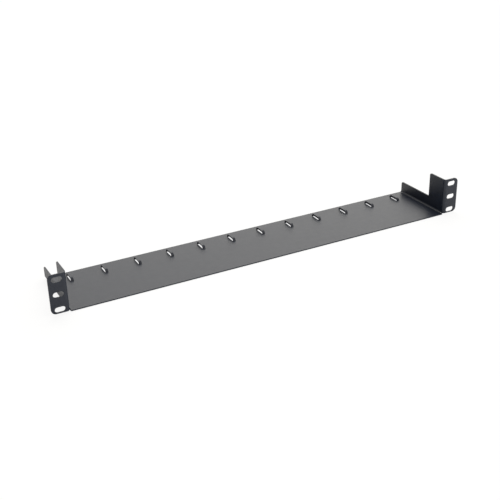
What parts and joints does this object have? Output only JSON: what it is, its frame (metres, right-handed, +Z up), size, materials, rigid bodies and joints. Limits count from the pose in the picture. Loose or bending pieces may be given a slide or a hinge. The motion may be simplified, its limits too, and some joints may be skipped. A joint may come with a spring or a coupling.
{
  "type": "rack cable tray",
  "caption": "Flat folded sheet-metal cable tray with stepped side walls, slotted ears that screw to an equipment rack, and a row of raised tie bridges along its rear edge.",
  "frame": {"origin": "middle of the width, on the plane of the ears' rear faces, at the plate's underside", "axes": "+X across the rack, to the right seen from the front; +Y into the rack, from the front to the rear; +Z up"},
  "size_m": [0.4826, 0.0786, 0.0423],
  "materials": {
    "powder_coat": "satin black powder coat"
  },
  "bodies": {
    "root": {"rack_cable_tray": "powder_coat"}
  },
  "joints": []
}
